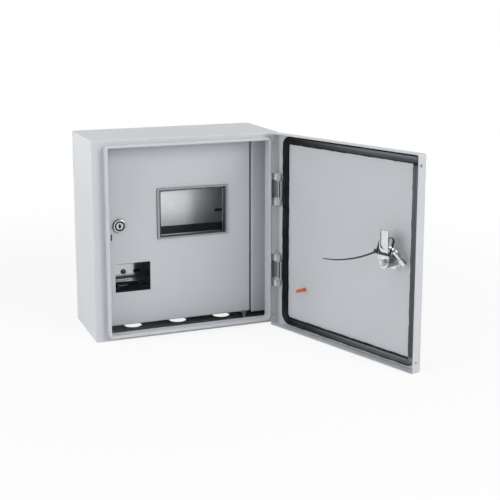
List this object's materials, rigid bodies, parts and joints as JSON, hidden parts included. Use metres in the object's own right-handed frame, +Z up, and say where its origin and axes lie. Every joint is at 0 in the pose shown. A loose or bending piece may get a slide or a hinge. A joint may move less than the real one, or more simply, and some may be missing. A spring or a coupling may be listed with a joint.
{
  "type": "metal electrical enclosure",
  "caption": "Light grey sheet steel wall enclosure with a hinged gasketed door standing open, a folded rain collar, an inner panel with a meter window, a breaker cut-out and cam locks.",
  "frame": {"origin": "centre of the four wall holes on the outer back face", "axes": "+Y into the wall, +Z up, +X to the hinge side; the front looks towards -Y"},
  "size_m": [0.3921, 0.4273, 0.31],
  "materials": {
    "grey_paint": "satin powder coat",
    "zinc_steel": "zinc plated",
    "galvanised_sheet": "galvanised",
    "lock_chrome": "plated zinc",
    "gasket_foam": "foamed",
    "orange_sleeve": "soft plastic",
    "black_nylon": "moulded nylon",
    "window_frame": "satin powder coat",
    "clear_pane": "clear plastic"
  },
  "bodies": {
    "box": {"housing_shell": "grey_paint", "rain_collar": "grey_paint", "back_panel": "grey_paint", "hinge_lugs": "grey_paint", "hinge_pins": "zinc_steel", "panel_jamb": "grey_paint", "lower_pivot": "zinc_steel", "upper_pivot": "zinc_steel", "pivot_collars": "zinc_steel", "meter_plate": "galvanised_sheet", "plate_screws": "zinc_steel", "din_rail": "galvanised_sheet", "rail_brackets": "galvanised_sheet", "rail_screws": "zinc_steel", "latch_catch": "grey_paint", "body_earth_stud": "zinc_steel", "earth_nut": "zinc_steel"},
    "door": {"door_shell": "grey_paint", "door_gasket": "gasket_foam", "door_hinge_brackets": "grey_paint", "door_earth_stud": "zinc_steel", "stud_sleeve": "orange_sleeve", "lock_body": "lock_chrome", "lock_nut": "lock_chrome"},
    "door_cam": {"lock_plug": "lock_chrome", "lock_cam": "lock_chrome", "cam_nut": "zinc_steel", "cable_tie": "black_nylon"},
    "tied_key": {"key": "lock_chrome"},
    "panel": {"inner_panel": "grey_paint", "window_frame": "window_frame", "window_pane": "clear_pane", "panel_lock_body": "lock_chrome", "panel_lock_nut": "lock_chrome"},
    "panel_cam": {"panel_lock_plug": "lock_chrome", "panel_lock_cam": "lock_chrome", "panel_cam_nut": "zinc_steel"}
  },
  "joints": [
    {"name": "door_hinge", "type": "hinge", "parent": "box", "child": "door", "pos_m": [0.1444, -0.1446, 0], "axis": [0, 0, 1], "range_deg": [-108.5, 11.5]},
    {"name": "panel_hinge", "type": "hinge", "parent": "box", "child": "panel", "pos_m": [0.1035, -0.0975, 0], "axis": [0, 0, 1], "range_deg": [0, 95]},
    {"name": "door_lock", "type": "hinge", "parent": "door", "child": "door_cam", "pos_m": [0.22625, -0.37282, -0.002], "axis": [0.9483, 0.3173, 0], "range_deg": [0, 90]},
    {"name": "panel_lock", "type": "hinge", "parent": "panel", "child": "panel_cam", "pos_m": [-0.1035, -0.1035, 0.0182], "axis": [0, -1, 0], "range_deg": [0, 90]},
    {"name": "key_swing", "type": "hinge", "parent": "door_cam", "child": "tied_key", "pos_m": [0.20768, -0.39332, 0.01881], "axis": [-0.7688, -0.0653, -0.6362], "range_deg": [0, 35]}
  ]
}
